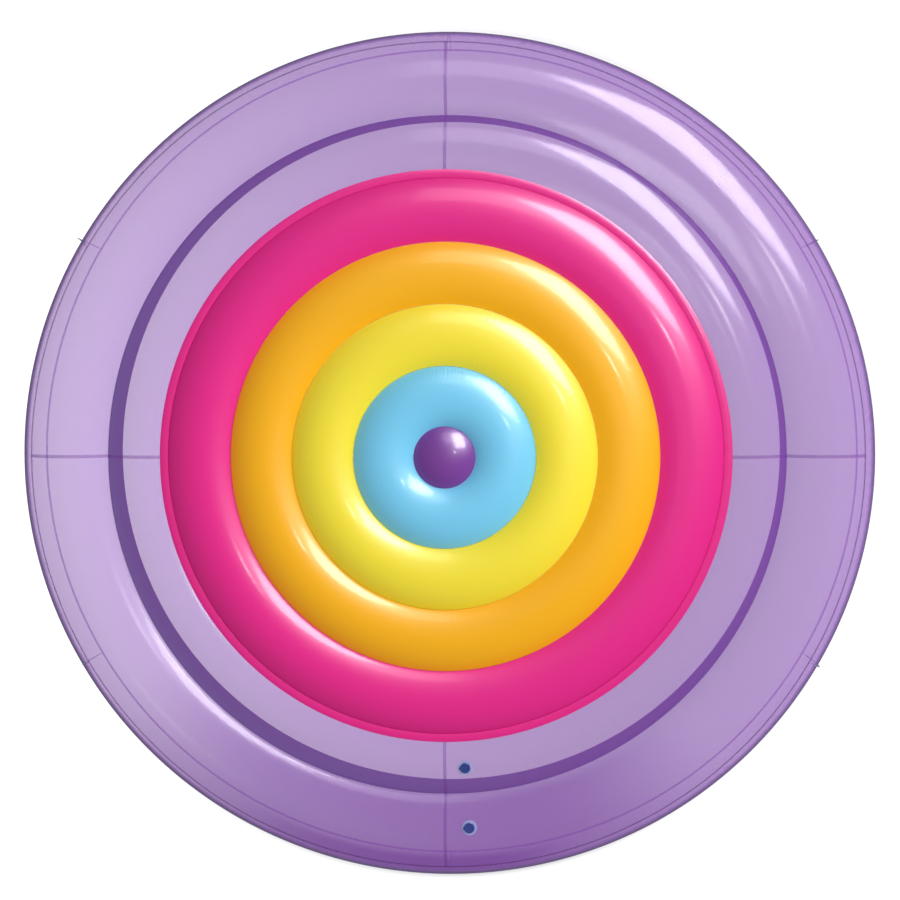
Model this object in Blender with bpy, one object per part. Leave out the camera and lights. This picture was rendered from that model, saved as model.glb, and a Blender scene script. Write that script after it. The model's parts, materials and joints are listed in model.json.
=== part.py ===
"""Inflatable island float: a round swimming float, 1.83 m across, with a tube round its rim, a raised
middle of coloured puffed rings, and two push-in valves. Metres, +Z up, and the origin on the ground
under the middle. Every skin is a thin film of vinyl, drawn at its inflated shape.

A section through the film is a line of (radius, height) points that runs clockwise, so its left side
is outside. shell() gives the line its thickness, and turned() spins it round the middle."""

import math

import bmesh
import bpy
from mathutils import Matrix, Vector

# Film and welds
film = 0.0004
weld_gap = 0.0003
lap_width = 0.008

# Outer tube
float_radius = 0.915
middle_height = 0.104
side_seam_inset = 0.028
side_seam_rise = 0.068
tube_rise = 0.034
ground_band = 0.012

# Chamber wall between the outer tube and the middle
wall_radius = 0.723
wall_rise = 0.079

# Coloured rings, from the middle out, each as wide as its panel between two welds
button_radius = 0.066
blue_width = 0.128
yellow_width = 0.131
orange_width = 0.131
pink_width = 0.134
flange_width = 0.018
ring_weld_height = 0.200
ring_rise = 0.0245

# Shoulder from the pink flange down to the chamber wall
shoulder_rise = 0.018

# Underside of the middle
floor_weld_height = 0.020
floor_rise = 0.017
underside_rise = 0.016

# Air holes through the ring baffles
vent_radius = 0.012
vent_height = 0.110

# Valves: how far out they sit from the middle of the shoulder and of the tube's top, and how far
# aside from the seam that runs to -Y
inner_valve_out = -0.0015
inner_valve_aside = 0.039
outer_valve_out = -0.014
outer_valve_aside = 0.048

# Valve, about its own axis, with heights above the film that it is welded to
running_gap = 0.0003
base_radius = 0.016
base_thickness = 0.0010
base_bevel = 0.0006
base_spigot_wall = 0.0014
base_spigot_depth = 0.0020
neck_radius = 0.0085
neck_bore_radius = 0.0050
neck_depth = 0.0185
neck_rim_radius = 0.0110
neck_rim_thickness = 0.0012
neck_lip_width = 0.0015
neck_lip_thickness = 0.0012
tab_thickness = 0.0006
cap_radius = 0.0110
cap_thickness = 0.0022
cap_bevel = 0.0006
stopper_depth = 0.0042
stopper_taper = 0.0007
strap_width = 0.0050
strap_thickness = 0.0009
hinge_reach = 0.0013
flap_radius = 0.0064
flap_thickness = 0.0006
flap_hinge_width = 0.0004

# Fineness of the round shapes. The side has an even number of steps, so one ring of points lies
# where the float is widest.
around = 48
valve_around = 16
vent_around = 8
tube_steps = 6
side_steps = 4
under_steps = 2
shoulder_steps = 3
ring_steps = 4
button_steps = 3
floor_steps = 2


def section(*points):
    """Section points as vectors in the XZ plane, from (radius, height) pairs."""
    return [Vector((radius, 0, height)) for radius, height in points]


def arc(start, end, rise, steps):
    """Arc from start to end, whose middle stands rise off the straight line, to the left of the way."""
    chord = end - start
    half = chord.length / 2
    along = chord.normalized()
    left = Vector((-along.z, 0, along.x))
    radius = (half**2 + rise**2) / (2 * rise)
    centre = (start + end) / 2 + left * (rise - radius)
    half_angle = math.atan2(half, radius - rise)
    angles = [half_angle * (2 * step / steps - 1) for step in range(1, steps)]
    between = [centre + radius * (math.sin(a) * along + math.cos(a) * left) for a in angles]
    return [start.copy(), *between, end.copy()]


def pressed(start, end, steps):
    """The tube's underside, from start to end: two arcs that each meet the flat ground band level."""
    middle = (start.x + end.x) / 2
    points = []
    for weld, edge in ((start, middle + ground_band / 2), (end, middle - ground_band / 2)):
        reach = weld.x - edge
        radius = (reach**2 + weld.z**2) / (2 * weld.z)
        angles = [math.atan2(reach, radius - weld.z) * (1 - step / steps) for step in range(1, steps)]
        curve = [Vector((edge + radius * math.sin(a), 0, radius - radius * math.cos(a))) for a in angles]
        side = [weld.copy(), *curve, Vector((edge, 0, 0))]
        points += side if weld is start else side[::-1]
    return points


def inside(line, distance):
    """The line moved to its right, towards the air, with its corners kept at the same distance."""
    moved = []
    for i, point in enumerate(line):
        before = (point - line[i - 1]).normalized() if i else None
        after = (line[i + 1] - point).normalized() if i < len(line) - 1 else None
        before = before or after
        after = after or before
        right = Vector((before.z + after.z, 0, -before.x - after.x)).normalized()
        spread = right.dot(Vector((before.z, 0, -before.x)))
        moved.append(point + right * distance / spread)
    return moved


def shell(line):
    """Closed section of a film whose outer face is the line."""
    return line + inside(line, film)[::-1]


def shortened(line, first, last):
    """The line with its first and last points moved along it, to leave a weld gap at each end."""
    points = [point.copy() for point in line]
    points[0] += (points[1] - points[0]).normalized() * first
    points[-1] += (points[-2] - points[-1]).normalized() * last
    return points


def material(name, colour, roughness, alpha=1.0):
    made = bpy.data.materials.new(name)
    made.diffuse_color = (*colour, alpha)
    made.use_nodes = True
    shader = made.node_tree.nodes["Principled BSDF"]
    shader.inputs["Base Color"].default_value = (*colour, 1)
    shader.inputs["Roughness"].default_value = roughness
    shader.inputs["Metallic"].default_value = 0
    shader.inputs["Alpha"].default_value = alpha
    return made


def add_object(name, bm, look, parent=None, smooth_degrees=35):
    """An object from a bmesh, faces out, shaded smooth but for its sharp edges."""
    bmesh.ops.recalc_face_normals(bm, faces=bm.faces)
    mesh = bpy.data.meshes.new(name)
    bm.to_mesh(mesh)
    bm.free()
    mesh.shade_smooth()
    mesh.set_sharp_from_angle(angle=math.radians(smooth_degrees))
    mesh.materials.append(look)
    made = bpy.data.objects.new(name, mesh)
    bpy.context.collection.objects.link(made)
    made.parent = parent
    return made


def turned(name, outline, look, start=0, sweep=360, segments=around, parent=None):
    """Spin an outline round Z. A part turn gets end caps, and points on the axis close to a pole."""
    bm = bmesh.new()
    turn = Matrix.Rotation(math.radians(start), 3, "Z")
    first = [bm.verts.new(turn @ point) for point in outline]
    on_axis = outline[0].x == 0 and outline[-1].x == 0
    pairs = list(zip(first, first[1:])) + ([] if on_axis else [(first[-1], first[0])])
    edges = [bm.edges.new(pair) for pair in pairs]
    whole = sweep == 360
    spun = bmesh.ops.spin(
        bm,
        geom=first + edges,
        cent=(0, 0, 0),
        axis=(0, 0, 1),
        angle=math.radians(sweep),
        steps=segments,
        use_merge=whole,
    )
    if not whole:
        last = [part for part in spun["geom_last"] if isinstance(part, bmesh.types.BMVert)]
        bm.faces.new(first)
        bm.faces.new(in_order(last))
    bmesh.ops.remove_doubles(bm, verts=bm.verts, dist=1e-7)
    return add_object(name, bm, look, parent)


def in_order(loop):
    """The points of an open end, in the order in which its edges join them."""
    held = set(loop)
    ordered = [loop[0]]
    while len(ordered) < len(loop):
        near = [edge.other_vert(ordered[-1]) for edge in ordered[-1].link_edges]
        ordered.append(next(vert for vert in near if vert in held and vert not in ordered))
    return ordered


def panels(name, outline, look, labels, start):
    """A ring of film cut into equal panels, with a weld gap between each and the next."""
    sweep = 360 / len(labels)
    inner_edge = min(point.x for point in outline)
    gap = math.degrees(weld_gap / inner_edge)
    made = []
    for i, label in enumerate(labels):
        first = start + sweep * i + gap / 2
        segments = around // len(labels)
        made.append(turned(f"{name}_{label}", outline, look, first, sweep - gap, segments))
    return made


def cut(target, cutter):
    """Take the cutter out of the target. The cutter stays as a guide that isn't rendered."""
    cutter.hide_render = True
    cutter.display_type = "WIRE"
    boolean = target.modifiers.new(cutter.name, "BOOLEAN")
    boolean.operation = "DIFFERENCE"
    boolean.solver = "EXACT"
    boolean.object = cutter


def box(bm, low, high):
    """A box between two corners, added to a bmesh."""
    low, high = Vector(low), Vector(high)
    place = Matrix.Translation((low + high) / 2) @ Matrix.Diagonal((*(high - low), 1))
    return bmesh.ops.create_cube(bm, size=1, matrix=place)["verts"]


for old in list(bpy.data.objects):
    bpy.data.objects.remove(old)

purple_film = material("purple_film", (0.50, 0.33, 0.66), 0.16, 0.65)
pink_vinyl = material("pink_vinyl", (0.80, 0.05, 0.27), 0.22)
orange_vinyl = material("orange_vinyl", (0.95, 0.45, 0.02), 0.22)
yellow_vinyl = material("yellow_vinyl", (0.87, 0.74, 0.07), 0.22)
blue_vinyl = material("blue_vinyl", (0.22, 0.60, 0.84), 0.22)
violet_vinyl = material("violet_vinyl", (0.20, 0.07, 0.30), 0.22)
clear_vinyl = material("clear_vinyl", (0.72, 0.74, 0.88), 0.20, 0.55)
navy_vinyl = material("navy_vinyl", (0.03, 0.04, 0.22), 0.30)

# Welds that the films hang between
lap_depth = film + weld_gap
side_seam_radius = float_radius - side_seam_inset
top_seam =Vector((side_seam_radius, 0, middle_height + side_seam_rise))
bottom_seam = Vector((side_seam_radius, 0, middle_height - side_seam_rise))
wall_top = Vector((wall_radius, 0, middle_height + wall_rise))
wall_bottom = Vector((wall_radius, 0, middle_height - wall_rise))
ring_weld_radii = [button_radius]
for width in (blue_width, yellow_width, orange_width, pink_width):
    ring_weld_radii.append(ring_weld_radii[-1] + width)
flange_radius = ring_weld_radii[-1] + flange_width

# Top sheet of the purple skin: a lap under the pink flange, the shoulder, the groove at the chamber
# wall, and the top of the outer tube
lap_edge = ring_weld_radii[-1] + film + weld_gap
shoulder_start = Vector((flange_radius, 0, ring_weld_height - lap_depth))
shoulder = arc(shoulder_start, wall_top, shoulder_rise, shoulder_steps)
tube_top = arc(wall_top, top_seam, tube_rise, tube_steps)
top_line = section((lap_edge, shoulder_start.z)) + shoulder + tube_top[1:]
quarters = ("north_east", "north_west", "south_west", "south_east")
top_panels = panels("top_panel", shell(top_line), purple_film, quarters, 0)

# Bottom sheet: the underside of the outer tube, pressed flat where it stands, and of the shoulder
tube_under = pressed(bottom_seam, wall_bottom, under_steps)
floor_lap = Vector((flange_radius, 0, floor_weld_height + lap_depth))
shoulder_under = arc(wall_bottom, floor_lap, underside_rise, floor_steps)
bottom_line = tube_under + shoulder_under[1:] + section((lap_edge, floor_lap.z))
panels("bottom_panel", shell(bottom_line), purple_film, quarters, 0)

# Side band: six panels, whose edges are welded inside the edges of the top and bottom sheets
top_lap = [top_seam + (top_line[-2] - top_seam).normalized() * lap_width, top_seam]
bottom_lap = [bottom_seam, bottom_seam + (bottom_line[1] - bottom_seam).normalized() * lap_width]
top_lap = inside(top_lap, lap_depth)
bottom_lap = inside(bottom_lap, lap_depth)
side_bulge = float_radius - top_lap[-1].x
side_arc = arc(top_lap[-1], bottom_lap[0], side_bulge, side_steps)
side_line = top_lap[:1] + side_arc + bottom_lap[1:]
panels("side_band", shell(side_line), purple_film, range(1, 7), -30)


def upright(name, radius, low, high, look):
    """A strip of film on edge, bent into a ring, between two heights."""
    inner = radius - film / 2
    outer = radius + film / 2
    outline = section((inner, low), (inner, high), (outer, high), (outer, low))
    return turned(name, outline, look)


def clear_of(line, corner):
    """Height of the air side of a film below or above one of its corners, less a weld gap."""
    air_side = inside(line, film)[line.index(corner)]
    return air_side.z - math.copysign(weld_gap, corner.z - middle_height)


# Chamber wall: a strip on edge, welded to the top sheet at the groove and to the bottom sheet
wall_low = clear_of(bottom_line, tube_under[-1])
wall_high = clear_of(top_line, wall_top)
upright("chamber_wall", wall_radius, wall_low, wall_high, purple_film)

# Coloured rings of the top, each an arch of film between two ring welds
ring_names = ("blue_ring", "yellow_ring", "orange_ring", "pink_ring")
ring_looks = (blue_vinyl, yellow_vinyl, orange_vinyl, pink_vinyl)
for i, name in enumerate(ring_names):
    inner_weld = Vector((ring_weld_radii[i], 0, ring_weld_height))
    outer_weld = Vector((ring_weld_radii[i + 1], 0, ring_weld_height))
    line = shortened(arc(inner_weld, outer_weld, ring_rise, ring_steps), weld_gap / 2, 0)
    if name == "pink_ring":
        line += section((flange_radius, ring_weld_height))
    else:
        line = shortened(line, 0, weld_gap / 2)
    turned(name, shell(line), ring_looks[i])

# Centre button: half of an arch, spun into a dome
button_arch = arc(
    Vector((-button_radius, 0, ring_weld_height)),
    Vector((button_radius, 0, ring_weld_height)),
    ring_rise,
    2 * button_steps,
)
button_line = shortened(button_arch[button_steps:], 0, weld_gap / 2)
button_line[0].x = 0
button_under = inside(button_line, film)
button_under[0].x = 0
turned("centre_button", button_line + button_under[::-1], violet_vinyl, segments=around // 2)

# Floor of the middle: one round sheet with a shallow puff between each two ring welds
floor_line = section((flange_radius, floor_weld_height))
floor_welds = [Vector((radius, 0, floor_weld_height)) for radius in reversed(ring_weld_radii)]
floor_line.append(floor_welds[0])
for outer_weld, inner_weld in zip(floor_welds, floor_welds[1:]):
    floor_line += arc(outer_weld, inner_weld, floor_rise, floor_steps)[1:]
floor_middle = arc(
    floor_welds[-1],
    Vector((-button_radius, 0, floor_weld_height)),
    floor_rise,
    2 * floor_steps,
)
floor_line += floor_middle[1 : floor_steps + 1]
floor_line[-1].x = 0
floor_over = inside(floor_line, film)
floor_over[-1].x = 0
turned("floor_sheet", floor_line[::-1] + floor_over, purple_film)

# Ring baffles: strips on edge that tie the top to the floor at each ring weld. One round cutter
# along X makes the two air holes in each.
bm = bmesh.new()
bmesh.ops.create_cone(
    bm,
    cap_ends=True,
    segments=vent_around,
    radius1=vent_radius,
    radius2=vent_radius,
    depth=2 * flange_radius,
    matrix=Matrix.Translation((0, 0, vent_height)) @ Matrix.Rotation(math.pi / 2, 4, "Y"),
)
vents = add_object("baffle_vents", bm, purple_film)
baffle_names = ("button_baffle", "blue_baffle", "yellow_baffle", "orange_baffle", "pink_baffle")
baffle_high = ring_weld_height - lap_depth
for name, radius, weld in zip(baffle_names, ring_weld_radii, reversed(floor_welds)):
    baffle = upright(name, radius, clear_of(floor_line, weld), baffle_high, purple_film)
    cut(baffle, vents)


def seat_on(line, out, aside):
    """A frame on the film, out from the middle of its section and aside from the seam to -Y.
    Z is the outward normal of the flat facet that it lies on, and X runs along the ring."""
    facet = 2 * math.pi / around
    narrowing = math.cos(facet / 2)
    radius = (line[0].x + line[-1].x) / 2 + out
    angle = math.asin(aside / radius)
    facet_middle = (math.floor(angle / facet) + 0.5) * facet
    reach = radius * math.cos(angle - facet_middle)
    i = next(i for i in range(len(line) - 1) if line[i + 1].x * narrowing > reach)
    before, after = line[i], line[i + 1]
    height = before.z + (after.z - before.z) * (reach / narrowing - before.x) / (after.x - before.x)
    point = Vector((reach, radius * math.sin(angle - facet_middle), height))
    heading = Matrix.Rotation(facet_middle - math.pi / 2, 4, "Z")
    tilt = math.atan2(after.z - before.z, (after.x - before.x) * narrowing)
    lean = Matrix.Rotation(-tilt, 4, "Y")
    return heading @ Matrix.Translation(point) @ lean @ Matrix.Rotation(math.pi / 2, 4, "Z")


def empty(name, place, parent=None):
    made = bpy.data.objects.new(name, None)
    bpy.context.collection.objects.link(made)
    made.parent = parent
    made.matrix_local = place
    return made


# Heights along a valve's axis, from the film up
base_low = weld_gap
base_high = base_low + base_thickness
rim_low = base_high + running_gap
rim_high = rim_low + neck_rim_thickness
cap_low = rim_high + running_gap
cap_high = cap_low + cap_thickness
lip_high = neck_lip_thickness - neck_depth
flap_high = -neck_depth - running_gap
base_bore_radius = neck_radius + running_gap
spigot_radius = base_bore_radius + base_spigot_wall
film_hole_radius = spigot_radius + weld_gap
tab_high = rim_high - running_gap
hinge_x = -neck_rim_radius - hinge_reach
hinge_z = rim_high + running_gap / 2
flap_hinge_x = -flap_radius
flap_hinge_z = flap_high - flap_thickness / 2


def valve_base(name, seat):
    """Flange welded to the film, with a spigot through the film's hole that guides the neck."""
    outline = section(
        (base_bore_radius, base_high),
        (base_radius - base_bevel, base_high),
        (base_radius, base_high - base_bevel),
        (base_radius, base_low),
        (spigot_radius, base_low),
        (spigot_radius, -base_spigot_depth),
        (base_bore_radius, -base_spigot_depth),
    )
    turned(name, outline, clear_vinyl, segments=valve_around, parent=seat)


def valve_neck(name, seat):
    """Tube that slides in the base: a rim on top, which the cap closes, and a stop lip at its foot.
    A flat tab on the rim carries the cap's hinge."""
    outline = section(
        (neck_bore_radius, rim_high),
        (neck_rim_radius, rim_high),
        (neck_rim_radius, rim_low),
        (neck_radius, rim_low),
        (neck_radius, lip_high),
        (neck_radius + neck_lip_width, lip_high),
        (neck_radius + neck_lip_width, -neck_depth),
        (neck_bore_radius, -neck_depth),
    )
    neck = turned(name, outline, clear_vinyl, segments=valve_around, parent=seat)
    tab = bmesh.new()
    box(
        tab,
        (hinge_x + running_gap, -strap_width / 2, tab_high - tab_thickness),
        (-neck_radius, strap_width / 2, tab_high),
    )
    join(neck, add_object(f"{name}_tab", tab, clear_vinyl, seat))


def join(target, piece):
    """Weld a piece onto the target. The piece stays as a guide that isn't rendered."""
    piece.hide_render = True
    piece.display_type = "WIRE"
    boolean = target.modifiers.new(piece.name, "BOOLEAN")
    boolean.operation = "UNION"
    boolean.solver = "EXACT"
    boolean.object = piece


def valve_cap(name, hinge):
    """Cap and stopper in one moulding, drawn about its hinge line, with its strap."""
    axis_x = -hinge_x
    stopper_radius = neck_bore_radius - running_gap
    lift = -hinge_z
    outline = section(
        (0, cap_high + lift),
        (cap_radius - cap_bevel, cap_high + lift),
        (cap_radius, cap_high - cap_bevel + lift),
        (cap_radius, cap_low + lift),
        (stopper_radius, cap_low + lift),
        (stopper_radius - stopper_taper, cap_low - stopper_depth + lift),
        (0, cap_low - stopper_depth + lift),
    )
    cap = turned(name, outline, navy_vinyl, segments=valve_around, parent=hinge)
    cap.location.x = axis_x
    strap = bmesh.new()
    box(
        strap,
        (-strap_thickness / 2, -strap_width / 2, cap_low + lift),
        (axis_x - stopper_radius, strap_width / 2, cap_low + strap_thickness + lift),
    )
    join(cap, add_object(f"{name}_strap", strap, navy_vinyl, hinge))


def valve_flap(name, hinge):
    """Check flap under the neck's bore, hung at one side of its rim. It swings down to let air in."""
    outline = section(
        (0, flap_thickness / 2),
        (flap_radius - flap_hinge_width, flap_thickness / 2),
        (flap_radius - flap_hinge_width, -flap_thickness / 2),
        (0, -flap_thickness / 2),
    )
    flap = turned(name, outline, clear_vinyl, segments=valve_around, parent=hinge)
    flap.location.x = flap_radius


valve_places = (
    ("inner", shoulder, inner_valve_out, inner_valve_aside),
    ("outer", tube_top, outer_valve_out, outer_valve_aside),
)
for label, line, out, aside in valve_places:
    seat = empty(f"{label}_valve_seat", seat_on(line, out, aside))
    hole = bmesh.new()
    bmesh.ops.create_cone(
        hole,
        cap_ends=True,
        segments=valve_around,
        radius1=film_hole_radius,
        radius2=film_hole_radius,
        depth=2 * film_hole_radius,
    )
    cut(top_panels[3], add_object(f"{label}_valve_hole", hole, purple_film, seat))
    valve_base(f"{label}_valve_base", seat)
    valve_neck(f"{label}_valve_neck", seat)
    hinge_place = Matrix.Translation((hinge_x, 0, hinge_z))
    valve_cap(f"{label}_valve_cap", empty(f"{label}_cap_hinge", hinge_place, seat))
    flap_place = Matrix.Translation((flap_hinge_x, 0, flap_hinge_z))
    valve_flap(f"{label}_valve_flap", empty(f"{label}_flap_hinge", flap_place, seat))
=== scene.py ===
# %% [markdown]
# # Inflatable island float
# A round float of thin vinyl film: a thick outer tube, a raised middle of coloured puffed rings, and two
# push-in valves. Film is a surface that air holds out between welds, so nearly every piece here is one
# section line, an arch between two welds, carried round the middle. That is one function of two numbers,
# how far along the section and how far round, and numpy works the whole grid out at once.

# %% The frame
import json
import math

import bmesh
import bpy
import mathutils
import numpy as np
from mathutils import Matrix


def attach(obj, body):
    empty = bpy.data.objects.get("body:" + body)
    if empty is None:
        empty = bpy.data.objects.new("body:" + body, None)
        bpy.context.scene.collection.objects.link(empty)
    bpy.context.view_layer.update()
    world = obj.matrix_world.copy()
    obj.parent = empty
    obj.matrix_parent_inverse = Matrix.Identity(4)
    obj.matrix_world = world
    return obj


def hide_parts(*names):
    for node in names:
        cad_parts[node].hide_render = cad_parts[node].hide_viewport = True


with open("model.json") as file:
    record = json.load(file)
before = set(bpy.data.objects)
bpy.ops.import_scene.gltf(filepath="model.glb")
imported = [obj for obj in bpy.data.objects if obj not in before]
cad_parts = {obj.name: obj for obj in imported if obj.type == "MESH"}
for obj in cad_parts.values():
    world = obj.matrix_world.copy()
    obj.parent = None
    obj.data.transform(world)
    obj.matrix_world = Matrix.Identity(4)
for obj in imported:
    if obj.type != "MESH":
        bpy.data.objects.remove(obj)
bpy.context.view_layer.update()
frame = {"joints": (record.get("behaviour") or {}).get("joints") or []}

# %% [markdown]
# ## Sizes
# The welds hold the whole shape, so their radii and heights come first. They are the real float's, in
# metres, with the ground at height zero. A weld is written as (radius, height).

# %% Sizes of the float
float_radius = 0.915
middle_height = 0.104
top_seam = (0.887, middle_height + 0.068)
bottom_seam = (0.887, middle_height - 0.068)
wall_radius = 0.723
wall_top = (wall_radius, middle_height + 0.079)
wall_bottom = (wall_radius, middle_height - 0.079)
tube_rise = 0.034
ring_radii = (0.066, 0.194, 0.325, 0.456, 0.590)
ring_height = 0.200
ring_rise = 0.0245
flange_radius = 0.608
sheet_start = ring_radii[-1] + 0.001
floor_height = 0.020
film_gap = 0.0007
print("float", 2 * float_radius, "m across, rings at", ring_radii)

# %% [markdown]
# ## Section lines
# Air pushes film evenly, so between two straight welds it takes the shape of a part of a circle. Points
# sit closer together near the welds, because that is where the small puckers are. Every line is drawn
# clockwise, with the outside of the piece on its left.

# %% Arches between welds
arch_crowding = 0.75


def crowded(count, strength, times=1):
    """Numbers from 0 to 1 that crowd together at both ends: s minus strength times the sine of 2 pi times s,
    over 2 pi times. With times at two they crowd in the middle as well, and with a strength below zero
    they crowd between those places instead."""
    s = np.linspace(0, 1, count)
    return s - strength * np.sin(2 * np.pi * times * s) / (2 * np.pi * times)


def arch(start, end, rise, count):
    """Part of a circle from start to end, (radius, height) each, whose middle stands rise off the straight
    line, on the left of the way. The circle's radius is (half chord squared + rise squared) over twice the
    rise."""
    start, end = np.array(start, float), np.array(end, float)
    half = np.linalg.norm(end - start) / 2
    along = (end - start) / (2 * half)
    left = np.array([-along[1], along[0]])
    radius = (half**2 + rise**2) / (2 * rise)
    centre = (start + end) / 2 + left * (rise - radius)
    reach = math.atan2(half, radius - rise)
    angle = reach * (2 * crowded(count, arch_crowding) - 1)[:, None]
    return centre + radius * (np.sin(angle) * along + np.cos(angle) * left)


def joined(*lines):
    """The lines end to end, each starting where the one before it stops, with no point twice."""
    return np.vstack([lines[0]] + [line[1:] for line in lines[1:]])


def straight(start, end, count):
    """Evenly spaced points from start to end."""
    return np.linspace(start, end, count)


def distance_along(line):
    """How far each point of a line is from its start, measured along it, one row for each point."""
    return np.concatenate([[0], np.cumsum(np.linalg.norm(np.diff(line, axis=0), axis=1))])[:, None]


tube_top = arch(wall_top, top_seam, tube_rise, 64)
print("the tube's top is an arch", round(float(distance_along(tube_top)[-1, 0]), 3), "m long")

# %% [markdown]
# ## Puckers
# Flat film that is welded along a curve is a little too long on one side of the weld, and the spare length
# folds into small puckers. A sum of waves with whole numbers of crests round the float joins up with
# itself. Where the film was pulled tight as it was welded it stays smooth, and here that is nearly
# everywhere but on the side towards pucker_side.

# %% Waves round the float
pucker_side = math.radians(55)
few_puckers, many_puckers = 110, 280
patch_crests, sway_crests = (3, 9), (14, 60)
sheet_pucker = {"depth": 0.0008, "reach": 0.007}
band_pucker = {"depth": 0.001, "reach": 0.008}
ring_pucker = {"depth": 0.00015, "reach": 0.008, "fewest": 60, "most": 150}
pucker_seeds = {"top": 11, "bottom": 31, "band_top": 41, "band_bottom": 51, "rings": 60}
sway_seeds = {"top": 71, "bottom": 81}


def waves(azimuth, fewest, most, seed, count=14):
    """Sum of cosines of the angle round the float. Each has a whole number of crests between fewest and
    most and a random start, and the sum is divided by the root of their number, to swing about 1."""
    random = np.random.default_rng(seed)
    crests = random.integers(fewest, most + 1, count)
    start = random.uniform(0, 2 * np.pi, count)
    return np.cos(azimuth[..., None] * crests + start).sum(-1) / math.sqrt(count)


def pucker(azimuth, distance, depth, reach, seed, fewest=few_puckers, most=many_puckers):
    """Height of the puckers at a distance from a weld: zero on the weld, highest at reach, then fading,
    as x times e to the power 1 - x with x the distance over reach. Slow waves make them come and go."""
    everywhere, one_sided, patchy, least = 0.4, 0.45, 0.3, 0.06
    x = np.clip(distance, 0, None) / reach
    patches = waves(azimuth, *patch_crests, seed + 1, 5)
    strength = everywhere + one_sided * np.cos(azimuth - pucker_side) + patchy * patches
    return depth * x * np.exp(1 - x) * np.clip(strength, least, None) * waves(azimuth, fewest, most, seed)


def sway(azimuth, distance, seed, depth=0.0008, reach=0.01):
    """How far a seam wanders up and down, the same for both films on it, fading away from the seam."""
    return depth * waves(azimuth, *sway_crests, seed) * np.exp(-np.clip(distance, 0, None) / reach)


def out_of_round(grid):
    """Points moved in and out, because a soft float never stands as a true circle. With phi the angle round,
    the rim moves by longer times cos 2(phi + turned_by) plus aside times cos phi. The chamber wall stays
    where it is, and within it the soft middle leans a few millimetres to one side."""
    longer, aside, turned_by = 0.0049, 0.0018, math.radians(8.5)
    leaning = np.array([-0.0055, -0.006, 0])
    radius = np.maximum(np.linalg.norm(grid[..., :2], axis=-1), 1e-9)
    phi = np.arctan2(grid[..., 1], grid[..., 0])
    share = np.clip((radius - wall_radius) / (top_seam[0] - wall_radius), 0, 1)
    outwards = share * (longer * np.cos(2 * (phi + turned_by)) + aside * np.cos(phi))
    stretch = 1 + outwards / radius
    moved = grid * np.stack([stretch, stretch, np.ones_like(radius)], -1)
    softness = 1 - np.clip(radius / wall_radius, 0, 1) ** 2
    return moved + softness[..., None] * leaning


round_rim = 2 * math.pi * top_seam[0]
middling_puckers = (few_puckers + many_puckers) / 2
print("one pucker every", round(1000 * round_rim / middling_puckers), "mm or so at the rim")

# %% [markdown]
# ## From a grid to a mesh
# A grid of points, rows along the section and columns round the float, becomes faces between each four
# neighbours. The numbers go into the mesh as whole arrays with foreach_set, which is far quicker than
# adding vertices one by one. Two facts ride along as attributes, and the materials read them later: how
# deep a point lies inside a weld's strip, below zero outside it, and how far along the strip it is.
#
# A round hole is made in the grid itself. Faces inside it are left out, and the points that lie nearest
# its edge are drawn onto it, so that the edge is round although the grid is square.

# %% Mesh makers
unwelded = {"weld": -1.0, "way": 0.0}
touching = 1e-6


def carried_round(line, azimuth, lift=0.0):
    """Carry a section round the Z axis. Each point first moves by lift along the line's left normal, which
    is the outside, and then (radius, height) becomes (radius cos, radius sin, height) of the azimuth."""
    way = np.gradient(line, axis=0)
    way /= np.linalg.norm(way, axis=1)[:, None]
    outward = np.stack([-way[:, 1], way[:, 0]], -1)
    azimuth = np.broadcast_to(azimuth, (len(line), np.shape(azimuth)[-1]))
    flat = line[:, None] + outward[:, None] * np.broadcast_to(lift, azimuth.shape)[..., None]
    return np.stack([flat[..., 0] * np.cos(azimuth), flat[..., 0] * np.sin(azimuth), flat[..., 1]], -1)


def from_axis(points, place, axis):
    """The way from the nearest spot of an axis to each point."""
    away = points - place
    return away - (away @ axis)[..., None] * axis


def mesh_of(name, grid, looped=False, capped=False, hole=None, **facts):
    """Mesh whose faces lie between the neighbours of a grid. looped joins the last column to the first,
    and capped the last row to the first. hole is (place, axis, radius, greatest way that a point is drawn
    to its edge). Each fact is a number per point, kept as an attribute."""
    rows, columns = grid.shape[:2]
    index = np.arange(rows * columns).reshape(rows, columns)
    if looped:
        index = np.hstack([index, index[:, :1]])
    if capped:
        index = np.vstack([index, index[:1]])
    quads = np.stack([index[:-1, :-1], index[1:, :-1], index[1:, 1:], index[:-1, 1:]], -1).reshape(-1, 4)
    points = grid.reshape(-1, 3)
    if hole:
        place, axis, radius, snap = hole
        away = from_axis(points, place, axis)
        distance = np.linalg.norm(away, axis=1)
        near = abs(distance - radius) < snap
        points = points.copy()
        points[near] += away[near] * (radius / distance[near] - 1)[:, None]
        distance = np.where(near, radius, distance)
        quads = quads[distance[quads].mean(1) > radius + touching]
    mesh = bpy.data.meshes.new(name)
    mesh.vertices.add(rows * columns)
    mesh.vertices.foreach_set("co", points.ravel())
    mesh.loops.add(quads.size)
    mesh.loops.foreach_set("vertex_index", quads.ravel())
    mesh.polygons.add(len(quads))
    mesh.polygons.foreach_set("loop_start", np.arange(0, quads.size, 4))
    mesh.update(calc_edges=True)
    mesh.shade_smooth()
    for fact, numbers in facts.items():
        stored = mesh.attributes.new(fact, "FLOAT", "POINT")
        stored.data.foreach_set("value", np.broadcast_to(numbers, (rows, columns)).ravel())
    return mesh


def merged(mesh):
    """The mesh with points that lie on each other merged, which closes a pole."""
    made = bmesh.new()
    made.from_mesh(mesh)
    bmesh.ops.remove_doubles(made, verts=made.verts, dist=touching)
    made.to_mesh(mesh)
    made.free()
    mesh.shade_smooth()
    return mesh


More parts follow.
